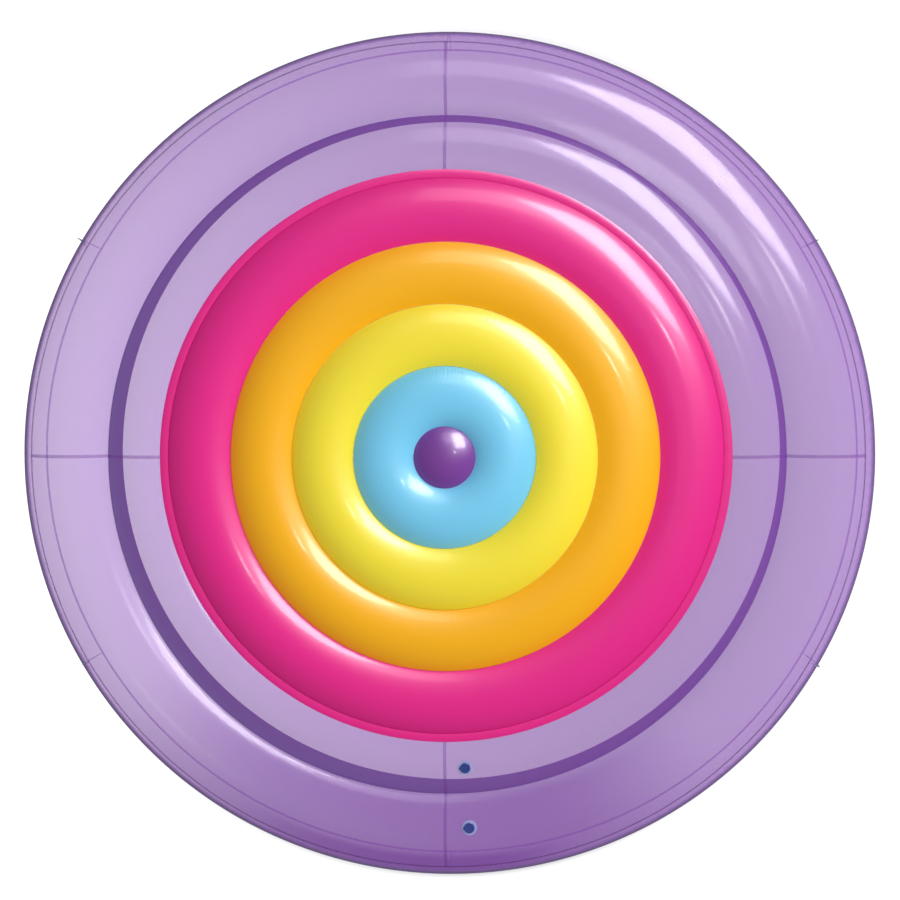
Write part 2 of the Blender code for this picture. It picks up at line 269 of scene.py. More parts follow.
def piece(name, mesh, finish, body="float", nodes=()):
    """An object for a mesh, which rides on a body and stands for the CAD nodes that it covers."""
    made = bpy.data.objects.new(name, mesh)
    bpy.context.scene.collection.objects.link(made)
    mesh.materials.append(finish)
    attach(made, body)
    if nodes:
        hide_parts(*nodes)


# %% [markdown]
# ## Finishes
# Vinyl film is glossy, with a faint grain from the rollers and slow waves where it isn't quite even. Both
# go into one node group, because every film here has them, with its own values for each. The group gives
# a height for the bump and a number that the roughness follows.

# %% The grain that all the films share


def group_with(name, inputs, outputs):
    """An empty node group with float inputs and outputs, and its two end nodes."""
    tree = bpy.data.node_groups.new(name, "ShaderNodeTree")
    for socket, value in inputs.items():
        tree.interface.new_socket(socket, in_out="INPUT", socket_type="NodeSocketFloat").default_value = value
    for socket in outputs:
        tree.interface.new_socket(socket, in_out="OUTPUT", socket_type="NodeSocketFloat")
    return tree, tree.nodes.new("NodeGroupInput").outputs, tree.nodes.new("NodeGroupOutput").inputs


def maths(tree, operation, *values):
    """A Math node. Each of its inputs is a number or the output of another node."""
    node = tree.nodes.new("ShaderNodeMath")
    node.operation = operation
    for socket, value in zip(node.inputs, values):
        if isinstance(value, bpy.types.NodeSocket):
            tree.links.new(value, socket)
        else:
            socket.default_value = value
    return node.outputs[0]


def noise(tree, scale, detail=2.0):
    """Noise in the object's own coordinates, so it stays where it is on the piece."""
    place = tree.nodes.new("ShaderNodeTexCoord")
    node = tree.nodes.new("ShaderNodeTexNoise")
    node.inputs["Scale"].default_value = scale
    node.inputs["Detail"].default_value = detail
    tree.links.new(place.outputs["Object"], node.inputs["Vector"])
    return node.outputs["Fac"]


def soft_step(tree, value, start, end):
    """A soft step: zero up to start, one from end on. The two may stand in either order."""
    node = tree.nodes.new("ShaderNodeMapRange")
    node.interpolation_type = "SMOOTHSTEP"
    node.inputs["From Min"].default_value = min(start, end)
    node.inputs["From Max"].default_value = max(start, end)
    node.inputs["To Min"].default_value = float(start > end)
    node.inputs["To Max"].default_value = float(start < end)
    tree.links.new(value, node.inputs["Value"])
    return node.outputs["Result"]


def blend(tree, share, first, second):
    """A mix of two colours. Each is three numbers or the output of another node."""
    node = tree.nodes.new("ShaderNodeMix")
    node.data_type = "RGBA"
    tree.links.new(share, node.inputs["Factor"])
    for socket, colour in ((node.inputs["A"], first), (node.inputs["B"], second)):
        if isinstance(colour, bpy.types.NodeSocket):
            tree.links.new(colour, socket)
        else:
            socket.default_value = (*colour, 1)
    return node.outputs["Result"]


film_grain, grain_in, grain_out = group_with(
    "film_grain", {"Grain": 0.2, "Waves": 1.0, "Haze": 0.05}, ("Height", "Roughness")
)
wave_scale, grain_scale, haze_scale = 9.0, 420.0, 34.0
slow = maths(film_grain, "MULTIPLY", noise(film_grain, wave_scale), grain_in["Waves"])
height = maths(film_grain, "MULTIPLY_ADD", noise(film_grain, grain_scale, 3.0), grain_in["Grain"], slow)
film_grain.links.new(height, grain_out["Height"])
haze = maths(film_grain, "MULTIPLY", noise(film_grain, haze_scale, 3.0), grain_in["Haze"])
film_grain.links.new(haze, grain_out["Roughness"])
print("film_grain has", len(film_grain.nodes), "nodes")

# %% [markdown]
# ## Weld marks
# A hot bar presses a weld flat and prints fine ribs across it. The mesh says how far inside a weld's strip
# each point is, and how far along the strip, and this group turns that into a mask for the strip and a
# height for its ribs.

# %% The group for welds


def fact_of(tree, name):
    """The number that a mesh keeps for each of its points under a name."""
    node = tree.nodes.new("ShaderNodeAttribute")
    node.attribute_name = name
    return node.outputs["Fac"]


weld_mark, weld_in, weld_out = group_with("weld_mark", {"Sharpness": 1500.0, "Rib": 0.003}, ("Mask", "Ribs"))
strip = maths(weld_mark, "MULTIPLY", fact_of(weld_mark, "weld"), weld_in["Sharpness"])
strip.node.use_clamp = True
weld_mark.links.new(strip, weld_out["Mask"])
turns = maths(weld_mark, "DIVIDE", fact_of(weld_mark, "way"), weld_in["Rib"])
rib = maths(weld_mark, "SINE", maths(weld_mark, "MULTIPLY", turns, 2 * math.pi))
weld_mark.links.new(maths(weld_mark, "MULTIPLY", rib, strip), weld_out["Ribs"])

# %% [markdown]
# ## Coloured film and clear film
# A film that lets light through gets denser as it is seen more from the side, because the light goes
# through more of it: what passes is what passes straight on, to the power of one over the cosine of the
# light's angle inside the film. Light bends as it goes in, by the film's index, so that is never a long
# way. Layer Weight's Facing is one minus the cosine outside. Seen almost edge on, the film's own colour
# gets deeper too, and that draws the thin dark outline of the rim. The films that stand on edge inside
# the float take an index of one, as if light didn't bend, because in the photograph they are dark.
#
# The coloured rings are matter than the clear film. Their gloss is spread wide, with a thin coat on top
# that keeps a sharper core in each highlight.

# %% A film's finish
weld_brightness = 0.4
rib_height = 0.2
nearly_edge_on = (0.52, 0.76)
least_cosine = 0.06
edge_density = 0.8


def film_material(name, colour, roughness, shine=0.5, coat=0.0):
    """A glossy opaque film. shine is its reflection, and coat how much of a thin, sharper gloss lies on top.
    Where it is welded, and where the weld mask carries painted shade in a crease, its colour is
    weld_brightness times as bright."""
    made = bpy.data.materials.new(name)
    made.use_nodes = True
    tree = made.node_tree
    shader = tree.nodes["Principled BSDF"]
    shader.inputs["Specular IOR Level"].default_value = shine
    shader.inputs["Coat Weight"].default_value = coat
    shader.inputs["Coat Roughness"].default_value = 0.13
    grained = tree.nodes.new("ShaderNodeGroup")
    grained.node_tree = film_grain
    grained.inputs["Waves"].default_value = 0.25
    welded = tree.nodes.new("ShaderNodeGroup")
    welded.node_tree = weld_mark
    dark = [weld_brightness * part for part in colour]
    tree.links.new(blend(tree, welded.outputs["Mask"], colour, dark), shader.inputs["Base Color"])
    tree.links.new(maths(tree, "ADD", grained.outputs["Roughness"], roughness), shader.inputs["Roughness"])

    bump = tree.nodes.new("ShaderNodeBump")
    bump.inputs["Distance"].default_value = 0.0006
    bump.inputs["Strength"].default_value = 0.35
    ribs = maths(tree, "MULTIPLY_ADD", welded.outputs["Ribs"], rib_height, grained.outputs["Height"])
    tree.links.new(ribs, bump.inputs["Height"])
    tree.links.new(bump.outputs["Normal"], shader.inputs["Normal"])
    tree.links.new(bump.outputs["Normal"], shader.inputs["Coat Normal"])
    return made


def see_through(made, colour, deep, density, index=1.54):
    """Let light through a film. density is the share of straight light that it stops, index how much it
    bends light, and deep its colour seen nearly edge on, where edge_density of the rest is stopped too.
    The cosine of light's angle inside the film is the root of 1 minus (sine outside over index) squared."""
    tree = made.node_tree
    shader = tree.nodes["Principled BSDF"]
    weight = tree.nodes.new("ShaderNodeLayerWeight")
    weight.inputs["Blend"].default_value = 0.5
    facing = weight.outputs["Facing"]
    sideways = soft_step(tree, facing, *nearly_edge_on)
    weld_mix = shader.inputs["Base Color"].links[0].from_node
    tree.links.new(blend(tree, sideways, colour, deep), weld_mix.inputs["A"])

    cosine = maths(tree, "MAXIMUM", maths(tree, "SUBTRACT", 1.0, facing), least_cosine)
    sine_squared = maths(tree, "SUBTRACT", 1.0, maths(tree, "MULTIPLY", cosine, cosine))
    inside = maths(tree, "SQRT", maths(tree, "MULTIPLY_ADD", sine_squared, -1 / index**2, 1.0))
    passing = maths(tree, "POWER", 1 - density, maths(tree, "DIVIDE", 1.0, inside))
    left_over = maths(tree, "MULTIPLY_ADD", sideways, -edge_density, 1.0)
    stopped = maths(tree, "SUBTRACT", 1.0, maths(tree, "MULTIPLY", passing, left_over))
    tree.links.new(stopped, shader.inputs["Alpha"])
    return made


# %% The see-through films
purple, deep_purple = (0.36, 0.095, 0.61), (0.2, 0.12, 0.33)
inner_purple, inner_deep = (0.28, 0.15, 0.45), (0.23, 0.31, 0.42)
clear_blue, clear_deep = (0.5, 0.55, 0.95), (0.16, 0.18, 0.45)
purple_film = see_through(film_material("purple_film", purple, 0.16), purple, deep_purple, 0.46)
inner_film = film_material("inner_film", inner_purple, 0.3, shine=0.05)
see_through(inner_film, inner_purple, inner_deep, 0.42, index=1.0)
clear_vinyl = see_through(film_material("clear_vinyl", clear_blue, 0.15), clear_blue, clear_deep, 0.5)

# %% The opaque vinyls
ring_gloss = {"roughness": 0.37, "shine": 0.32, "coat": 0.3}
pink_vinyl = film_material("pink_vinyl", (0.8, 0.014, 0.252), **ring_gloss)
orange_vinyl = film_material("orange_vinyl", (0.92, 0.435, 0.001), **ring_gloss)
yellow_vinyl = film_material("yellow_vinyl", (0.875, 0.715, 0.033), **ring_gloss)
blue_vinyl = film_material("blue_vinyl", (0.165, 0.55, 0.805), **ring_gloss)
violet_vinyl = film_material("violet_vinyl", (0.18, 0.04, 0.29), 0.37, shine=0.4, coat=0.4)
navy_vinyl = film_material("navy_vinyl", (0.03, 0.05, 0.26), 0.3, coat=0.3)
print("materials:", len(bpy.data.materials))

# %% [markdown]
# ## Valves: where they sit
# A valve is drawn about its own axis and then placed. Its axis is the line that its neck slides on, and
# the hinge of its cap lies at a known spot beside it, so the frame's joints say where the valve is.

# %% Places of the two valves
hinge_beside = 0.0123
hinge_above = 0.00295


def valve_place(label):
    """The middle of the base, on the film, and the valve's X, Y and Z as the rows of a matrix."""
    joints = {joint["name"]: joint for joint in frame["joints"]}
    up = np.array(joints[f"{label}_neck_slide"]["axis"])
    hinge = joints[f"{label}_cap_hinge"]
    across = -np.array(hinge["axis"])
    turn = np.array([np.cross(across, up), across, up])
    return np.array(hinge["pos_m"]) + hinge_beside * turn[0] - hinge_above * turn[2], turn


valves = {label: valve_place(label) for label in ("inner", "outer")}
for label, (middle, turn) in valves.items():
    leaning = round(math.degrees(math.acos(turn[2, 2])), 1)
    print(label, "valve at", middle.round(4), "leaning", leaning, "degrees")

# %% [markdown]
# ## The top sheet
# Four quarters of purple film run from under the pink flange, over the shoulder, down into the groove at
# the chamber wall, over the tube and out to the top seam. Each quarter laps over the next or under it by
# a few millimetres, and the lap is the thin dark line that runs out to the rim: two films in place of one.
# Only the top seam is pressed hard. The weld mark shows as much as a strip is deep, so the other strips
# get a depth of light_press at most, and a fainter mark.

# %% Laps between panels
quarter, sixth = 90, 60
fine_columns, plain_columns = 640, 400
panel_crowding = 0.5
tuck_depth = 0.0006


def panel_angles(line, start, sweep, columns, over):
    """Angles for a panel's columns. over is how far, in metres, its first and its last edge reach past
    the seam onto the neighbour. A metre turns through one over the radius."""
    first = math.radians(start) - over[0] / line[:, :1]
    last = math.radians(start + sweep) + over[1] / line[:, :1]
    return first + (last - first) * crowded(columns, panel_crowding)


def past_ends(line, azimuth, start, sweep):
    """How far each point lies beyond the panel's first and last seam, in metres. Inside it is negative."""
    before = (math.radians(start) - azimuth) * line[:, :1]
    return before, (azimuth - math.radians(start + sweep)) * line[:, :1]


def lap_strip(line, azimuth, start, sweep, over, lap):
    """How deep each point lies inside the strip where two panels lie on each other. The strip is lap wide,
    beyond the seam where this panel is on top, and inside it where it is underneath."""
    depths = []
    for past, reach in zip(past_ends(line, azimuth, start, sweep), over):
        depths.append(lap / 2 - abs((past if reach else -past) - lap / 2))
    return np.maximum(*depths)


def tucked(line, azimuth, start, sweep, over, lap):
    """How far the edges without a reach are pushed in, so that they lie under the neighbour."""
    depth = 0.0
    for past, reach in zip(past_ends(line, azimuth, start, sweep), over):
        if not reach:
            depth = depth - tuck_depth * np.clip(1 + past / (2 * lap), 0, 1) ** 2
    return depth


def edge_strip(distance, width):
    """How deep each point lies inside a strip along an edge."""
    return width / 2 - abs(distance - width / 2)


# %% Top quarters
lap = 0.007
seam_lap = 0.0048
light_press = 0.0002
shoulder_rise = 0.018
hole_radius, hole_snap = 0.0122, 0.0012
settling_end, settling_way, sunk_under_base = 0.042, 0.024, 0.0001
shoulder = arch((flange_radius, ring_height - film_gap), wall_top, shoulder_rise, 48)
under_flange = straight((sheet_start, ring_height - film_gap), shoulder[0], 3)
top_line = joined(under_flange, shoulder, tube_top)
top_way = distance_along(top_line)
to_seam = top_way[-1] - top_way
top_over = {"north_east": (lap, lap), "north_west": (0, lap), "south_west": (0, 0), "south_east": (lap, 0)}


def settled(grid, valve):
    """The film drawn flat round a valve: full on the stiff base, and fading out a little way beyond it, as
    s squared times (3 - 2 s) does for s from 1 to 0."""
    middle, turn = valve
    distance = np.linalg.norm(from_axis(grid, middle, turn[2]), axis=-1)
    s = np.clip((settling_end - distance) / settling_way, 0, 1)
    share = s * s * (3 - 2 * s)
    height = (grid - middle) @ turn[2]
    return grid - (share * (height + sunk_under_base))[..., None] * turn[2]


for number, (label, over) in enumerate(top_over.items()):
    start = quarter * number
    azimuth = panel_angles(top_line, start, quarter, fine_columns, over)
    lift = pucker(azimuth, to_seam, seed=pucker_seeds["top"], **sheet_pucker)
    lift += tucked(top_line, azimuth, start, quarter, over, lap)
    grid = out_of_round(carried_round(top_line, azimuth, lift))
    grid[..., 2] += sway(azimuth, to_seam, sway_seeds["top"])
    radial = lap_strip(top_line, azimuth, start, quarter, over, lap)
    hoop = edge_strip(to_seam, seam_lap)
    weld = np.maximum(np.minimum(radial, light_press), hoop)
    way = np.where(radial > hoop, top_way, azimuth * top_seam[0])
    if label == "south_east":
        split = len(under_flange) + len(shoulder) - 2
        for part, rows in (("inner", slice(None, split + 1)), ("outer", slice(split, None))):
            middle, turn = valves[part]
            flat = settled(grid, valves[part])[rows]
            hole = (middle, turn[2], hole_radius, hole_snap)
            mesh = mesh_of(f"top_{label}_{part}", flat, hole=hole, weld=weld[rows], way=way[rows])
            piece(f"top_film_{label}_{part}", mesh, purple_film, nodes=[f"top_panel_{label}"])
    else:
        mesh = mesh_of(f"top_{label}", grid, weld=weld, way=way)
        piece(f"top_film_{label}", mesh, purple_film, nodes=[f"top_panel_{label}"])
print("a quarter of the top has", azimuth.size, "points")

# %% [markdown]
# ## The bottom sheet
# The underside is the same film. Where the float stands, its own weight presses a narrow band flat. The
# quarters are joined edge to edge here, without a lap.

# %% Bottom quarters
standing_band = 0.012
smooth_height = 0.012
under_rise = 0.016


def pressed(start, end, band, count):
    """The tube's underside: two parts of circles that each leave a weld and meet the flat band level. With
    reach the way from band to weld, a circle's radius is (reach squared + height squared) over twice the
    height."""
    middle = (start[0] + end[0]) / 2
    sides = []
    for weld, edge in ((start, middle + band / 2), (end, middle - band / 2)):
        reach = weld[0] - edge
        radius = (reach**2 + weld[1] ** 2) / (2 * weld[1])
        angle = np.linspace(math.atan2(reach, radius - weld[1]), 0, count)
        sides.append(np.stack([edge + radius * np.sin(angle), radius - radius * np.cos(angle)], -1))
    return np.vstack([sides[0], sides[1][::-1]])


tube_under = pressed(bottom_seam, wall_bottom, standing_band, 28)
shoulder_under = arch(wall_bottom, (flange_radius, floor_height + film_gap), under_rise, 28)
under_floor = straight(shoulder_under[-1], (sheet_start, floor_height + film_gap), 3)
bottom_line = joined(tube_under, shoulder_under, under_floor)
bottom_way = distance_along(bottom_line)
clear_of_ground = np.clip(bottom_line[:, 1:] / smooth_height, 0, 1)
for number, label in enumerate(top_over):
    azimuth = panel_angles(bottom_line, quarter * number, quarter, plain_columns, (0, 0))
    lift = pucker(azimuth, bottom_way, seed=pucker_seeds["bottom"], **sheet_pucker) * clear_of_ground
    grid = out_of_round(carried_round(bottom_line, azimuth, lift))
    grid[..., 2] += sway(azimuth, bottom_way, sway_seeds["bottom"])
    hoop = np.minimum(edge_strip(bottom_way, seam_lap), light_press)
    mesh = mesh_of(f"bottom_{label}", grid, weld=hoop, way=azimuth * bottom_seam[0])
    piece(f"bottom_film_{label}", mesh, purple_film, nodes=[f"bottom_panel_{label}"])
print("a quarter of the bottom has", len(mesh.polygons), "faces")

# %% [markdown]
# ## The side band
# Six lengths of film close the rim. Their edges are welded just inside the edges of the top and bottom
# sheets, and two films lie on each other there, which shows as the dark lines round the rim.

# %% Side band
first_joint = -30


def unit(step):
    """A step made one metre long."""
    return step / np.linalg.norm(step)


in_along_top = unit(top_line[-2] - top_line[-1])
in_along_bottom = unit(bottom_line[1] - bottom_line[0])
upper = np.array(top_seam) + np.array([-in_along_top[1], in_along_top[0]]) * film_gap
lower = np.array(bottom_seam) + np.array([in_along_bottom[1], -in_along_bottom[0]]) * film_gap
side_line = joined(
    straight(upper + in_along_top * seam_lap, upper, 5),
    arch(upper, lower, float_radius - upper[0], 64),
    straight(lower, lower + in_along_bottom * seam_lap, 5),
)
side_way = distance_along(side_line)
from_top = side_way - seam_lap
from_bottom = side_way[-1] - seam_lap - side_way
side_lap = 0.0015
for number in range(360 // sixth):
    start, over = first_joint + sixth * number, (0, side_lap)
    azimuth = panel_angles(side_line, start, sixth, plain_columns, over)
    lift = pucker(azimuth, from_top, seed=pucker_seeds["band_top"], **band_pucker)
    lift += pucker(azimuth, from_bottom, seed=pucker_seeds["band_bottom"], **band_pucker)
    lift += tucked(side_line, azimuth, start, sixth, over, side_lap)
    grid = out_of_round(carried_round(side_line, azimuth, lift))
    wander = sway(azimuth, abs(from_top), sway_seeds["top"])
    grid[..., 2] += wander + sway(azimuth, abs(from_bottom), sway_seeds["bottom"])
    radial = lap_strip(side_line, azimuth, start, sixth, over, side_lap)
    weld = np.maximum(np.minimum(radial, light_press), edge_strip(side_way, seam_lap))
    mesh = mesh_of(f"side_{number + 1}", grid, weld=weld, way=side_way)
    piece(f"side_film_{number + 1}", mesh, purple_film, nodes=[f"side_band_{number + 1}"])
print("a length of the side band has", len(mesh.polygons), "faces")

# %% [markdown]
# Where two lengths meet, a scrap of welded film was left on at four of the six joints. It stands out from
# the rim, highest in the middle, and leans a little, so from above it shows as a short thin line.

# %% Seam tails
tail_reach = {0: 0.006, 1: 0.006, 3: 0.012, 4: 0.006}
tail_lean = 0.0022
half_tail = 20
middle_row = len(side_line) // 2
tail_base = side_line[middle_row - half_tail : middle_row + half_tail + 1]
up_and_down = np.linspace(-1, 1, len(tail_base))[:, None]
outwards = np.linspace(0, 1, 7)
for number, reach in tail_reach.items():
    radius = tail_base[:, :1] + reach * (1 - up_and_down**2) * outwards
    azimuth = math.radians(first_joint + sixth * number) + tail_lean * up_and_down * outwards
    height = np.broadcast_to(tail_base[:, 1:], radius.shape)
    grid = out_of_round(np.stack([radius * np.cos(azimuth), radius * np.sin(azimuth), height], -1))
    mesh = mesh_of(f"tail_{number + 1}", grid, **unwelded)
    piece(f"side_film_tail_{number + 1}", mesh, inner_film, nodes=[f"side_band_{number + 1}"])
print("a tail has", len(mesh.polygons), "faces")

# %% [markdown]
# ## The chamber wall
# Between the tube and the middle a strip of film stands on edge. From above it is seen almost edge on, so
# it shows through the top sheet as a dark band, wider on one side because the camera isn't straight above.

# %% Chamber wall
round_angles = np.linspace(0, 2 * math.pi, 600, endpoint=False)
wall_line = straight((wall_radius, wall_top[1] - film_gap), (wall_radius, wall_bottom[1] + film_gap), 24)
mesh = mesh_of("chamber_wall", carried_round(wall_line, round_angles), looped=True, **unwelded)
piece("wall_film", mesh, inner_film, nodes=["chamber_wall"])
print("the wall is", round(wall_line[0, 1] - wall_line[-1, 1], 3), "m high")

# %% [markdown]
# ## The coloured rings
# Each ring is an arch of opaque vinyl between two ring welds. Both edges turn down into the crease, where
# they are welded to the strip below, so no gap shows. The pink ring goes on past its crease as a flange,
# a finger wide and swollen a little, that lies on the purple sheet.

# %% Rings
crease_depth = 0.003
half_crease = 0.0002
groove_width, groove_depth = 0.0008, 0.0015
flange_rise = 0.0014
crease_shade_half_width = 0.002
ring_looks = {
    "blue_ring": (blue_vinyl, "blue_vinyl"),
    "yellow_ring": (yellow_vinyl, "yellow_vinyl"),
    "orange_ring": (orange_vinyl, "orange_vinyl"),
    "pink_ring": (pink_vinyl, "pink_vinyl"),
}
for number, (name, (look, slot)) in enumerate(ring_looks.items()):
    inner = np.array((ring_radii[number] + half_crease, ring_height))
    outer = np.array((ring_radii[number + 1] - half_crease, ring_height))
    line = joined(straight(inner - (0, crease_depth), inner, 3), arch(inner, outer, ring_rise, 60))
    # On the pink ring the weld mask also paints shade: a darker line along the crease where the arch meets
    # the flange, partly the weld and partly painted shade in the crease.
    weld_and_crease_shade = -1.0
    if name == "pink_ring":
        groove, foot = outer + (groove_width / 2, -groove_depth), outer + (groove_width, 0)
        flange = arch(foot, (flange_radius, ring_height), flange_rise, 12)
        crease_shade_middle = distance_along(line)[-1]
        line = joined(line, straight(outer, groove, 3), straight(groove, foot, 3), flange)
        weld_and_crease_shade = np.minimum(crease_shade_half_width - abs(distance_along(line) - crease_shade_middle), light_press)
    else:
        line = joined(line, straight(outer, outer - (0, crease_depth), 3))
    way = distance_along(line)
    from_edge = np.minimum(way, way[-1] - way) - crease_depth
    lift = pucker(round_angles[None], from_edge, seed=pucker_seeds["rings"] + number, **ring_pucker)
    grid = out_of_round(carried_round(line, round_angles, lift))
    mesh = mesh_of(name, grid, looped=True, weld=weld_and_crease_shade, way=0.0)
    piece(f"{name}_vinyl", mesh, look, nodes=[name])
print("a ring has", len(mesh.polygons), "faces")

# %% [markdown]
# ## The button
# The middle ring closes to a small dome: half an arch, carried round, whose first row is one point. The
# points of that row are merged, so the pole is closed.

# %% Button
whole_dome = arch((-ring_radii[0], ring_height), (ring_radii[0] - half_crease, ring_height), ring_rise, 65)
dome = whole_dome[len(whole_dome) // 2 :]
dome[0, 0] = 0
dome = joined(dome, straight(dome[-1], dome[-1] - (0, crease_depth), 3))
grid = out_of_round(carried_round(dome, round_angles[::4]))
mesh = merged(mesh_of("centre_button", grid, looped=True, **unwelded))
piece("button_vinyl", mesh, violet_vinyl, nodes=["centre_button"])
print("the button has", len(mesh.polygons), "faces")

# %% [markdown]
# ## The floor of the middle, and the baffles
# One round sheet closes the middle underneath, with a shallow puff between each two ring welds. Strips on
# edge tie the top to it at every ring weld. Each strip has two round holes, so that air gets to all rings,
# and its grid crowds together where they are.

# %% Floor sheet
floor_rise = 0.017
floor_welds = [(radius, floor_height) for radius in reversed(ring_radii)]
puffs = [arch(outer, inner, floor_rise, 20) for outer, inner in zip(floor_welds, floor_welds[1:])]
whole_puff = arch(floor_welds[-1], (-ring_radii[0], floor_height), floor_rise, 33)
middle_puff = whole_puff[: len(whole_puff) // 2 + 1]
middle_puff[-1, 0] = 0
floor_line = joined(straight((flange_radius, floor_height), floor_welds[0], 3), *puffs, middle_puff)
grid = out_of_round(carried_round(floor_line, round_angles[::2]))
mesh = merged(mesh_of("floor_sheet", grid, looped=True, **unwelded))
piece("floor_film", mesh, purple_film, nodes=["floor_sheet"])
print("the floor sheet has", len(mesh.polygons), "faces")

# %% Ring baffles
vent_radius, vent_snap = 0.012, 0.0018
vent_height = 0.110
along_x = np.array([1.0, 0.0, 0.0])
round_crowding, upward_crowding = 0.8, -0.7
baffle_angles = 2 * math.pi * crowded(361, round_crowding, 2)[:-1]
for radius, name in zip(ring_radii, ("button", "blue", "yellow", "orange", "pink")):
    top, foot = ring_height - crease_depth, floor_height + film_gap
    strip_line = np.array((radius, top)) + crowded(41, upward_crowding)[:, None] * (0, foot - top)
    upright = carried_round(strip_line, baffle_angles)
    grid = out_of_round(upright)
    vent = (grid[0, 0] - upright[0, 0] + (0, 0, vent_height), along_x, vent_radius, vent_snap)
    mesh = mesh_of(f"{name}_baffle", grid, looped=True, hole=vent, **unwelded)
    piece(f"{name}_baffle_film", mesh, inner_film, nodes=[f"{name}_baffle"])
print("a baffle has", len(mesh.polygons), "faces")

# %% [markdown]
# ## The valves
# A push-in valve is four soft mouldings: the base on the film, the neck that slides in it, the cap with
# its stopper and strap, and a thin flap under the bore. Moulded edges are never sharp, so each corner of
# a section line is rounded before it is turned about the valve's axis.

# %% Moulded shapes


def rounded(points, radius, steps=5):
    """The line with each corner cut by a short curve. With a and b the points radius before and after the
    corner, it is (1 - t) squared of a, 2 t (1 - t) of the corner and t squared of b."""
    points = np.array(points, float)
    t = np.linspace(0, 1, steps)[:, None]
    line = [points[:1]]
    for before, corner, after in zip(points, points[1:], points[2:]):
        a = corner + unit(before - corner) * min(radius, np.linalg.norm(before - corner) / 2)
        b = corner + unit(after - corner) * min(radius, np.linalg.norm(after - corner) / 2)
        line.append((1 - t) ** 2 * a + 2 * t * (1 - t) * corner + t**2 * b)
    return np.vstack([*line, points[-1:]])


def closed(points, radius):
    """As rounded, for a line that comes back to its start, cut open halfway from its last point to its
    first."""
    middle = (np.array(points[0], float) + points[-1]) / 2
    return rounded([middle, *points, middle], radius)[:-1]


def slab(x, width, z, corner, edge):
    """A flat bar from x[0] to x[1] and z[0] to z[1], centred on Y. Its outline is a box with rounded
    corners, and near the faces it is drawn in by a quarter circle, edge times 1 minus the sine."""
    half = width / 2
    outline = closed([(x[0], -half), (x[1], -half), (x[1], half), (x[0], half)], corner)
    step = np.roll(outline, -1, 0) - np.roll(outline, 1, 0)
    outward = np.stack([step[:, 1], -step[:, 0]], -1) / np.linalg.norm(step, axis=1)[:, None]
    bend = np.linspace(0, math.pi / 2, 5)
    inward = edge * (1 - np.sin(np.concatenate([bend, bend[::-1]])))
    heights = np.concatenate([z[1] - edge * (1 - np.cos(bend)), z[0] + edge * (1 - np.cos(bend[::-1]))])
    rims = outline - inward[:, None, None] * outward
    middle = np.broadcast_to((sum(x) / 2, 0), rims[:1].shape)
    flat = np.concatenate([middle, rims, middle])
    heights = np.concatenate([[z[1]], heights, [z[0]]])[:, None, None]
    return np.concatenate([flat, np.broadcast_to(heights, (*flat.shape[:2], 1))], -1)


def moulding(label, name, shapes, look, body):
    """One object from the grids of a valve's piece, placed on its film. A shape is a grid, and whether its
    last row joins its first. Where a grid has poles, they are closed."""
    middle, turn = valves[label]
    made = bmesh.new()
    for grid, capped in shapes:
        mesh = merged(mesh_of(name, grid @ turn + middle, looped=True, capped=capped, **unwelded))
        made.from_mesh(mesh)
        bpy.data.meshes.remove(mesh)
    mesh = bpy.data.meshes.new(f"{label}_{name}")
    made.to_mesh(mesh)
    made.free()
    mesh.shade_smooth()
    piece(f"{label}_{name}_moulding", mesh, look, body, [f"{label}_valve_{name}"])


# %% Valve pieces
turned = np.linspace(0, 2 * math.pi, 64, endpoint=False)
base_edge, valve_edge, thin_edge, strap_edge = 0.0004, 0.0005, 0.0002, 0.0003
strap_end, strap_width, strap_corner = -0.0095, 0.005, 0.001
base_top = [(0.0102, 0.0011), (0.0135, 0.0011), (0.0142, 0.0013), (0.0154, 0.0013), (0.016, 0.0007)]
base_under = [(0.016, 0.0003), (0.0102, 0.0003), (0.0102, -0.002), (0.0088, -0.002), (0.0088, 0.0011)]
neck_rim = [(0.0063, 0.0028), (0.011, 0.0028), (0.011, 0.0016), (0.0085, 0.0016)]
neck_lip = [(0.0085, -0.0173), (0.01, -0.0173), (0.01, -0.0185), (0.005, -0.0185), (0.005, 0.0022)]
cap_top = [(0, 0.0049), (0.0068, 0.0049), (0.0078, 0.0053), (0.0103, 0.0053), (0.011, 0.0047)]
cap_stopper = [(0.011, 0.0031), (0.0047, 0.0031), (0.004, -0.0011), (0, -0.0011)]
flap_line = [(0, -0.0188), (0.006, -0.0188), (0.006, -0.0194), (0, -0.0194)]
base = carried_round(closed(base_top + base_under, base_edge), turned)
neck = carried_round(closed(neck_rim + neck_lip, valve_edge), turned)
tab = slab((-0.012, strap_end), strap_width, (0.0019, 0.0025), strap_corner, thin_edge)
cap = carried_round(rounded(cap_top + cap_stopper, valve_edge), turned)
strap = slab((-0.01275, strap_end), strap_width, (0.0032, 0.004), strap_corner, strap_edge)
flap = carried_round(rounded(flap_line, thin_edge), turned)
for label in valves:
    moulding(label, "base", [(base, True)], clear_vinyl, "float")
    moulding(label, "neck", [(neck, True), (tab, False)], clear_vinyl, f"{label}_neck")
    moulding(label, "cap", [(cap, False), (strap, False)], navy_vinyl, f"{label}_cap")
    moulding(label, "flap", [(flap, False)], clear_vinyl, f"{label}_flap")
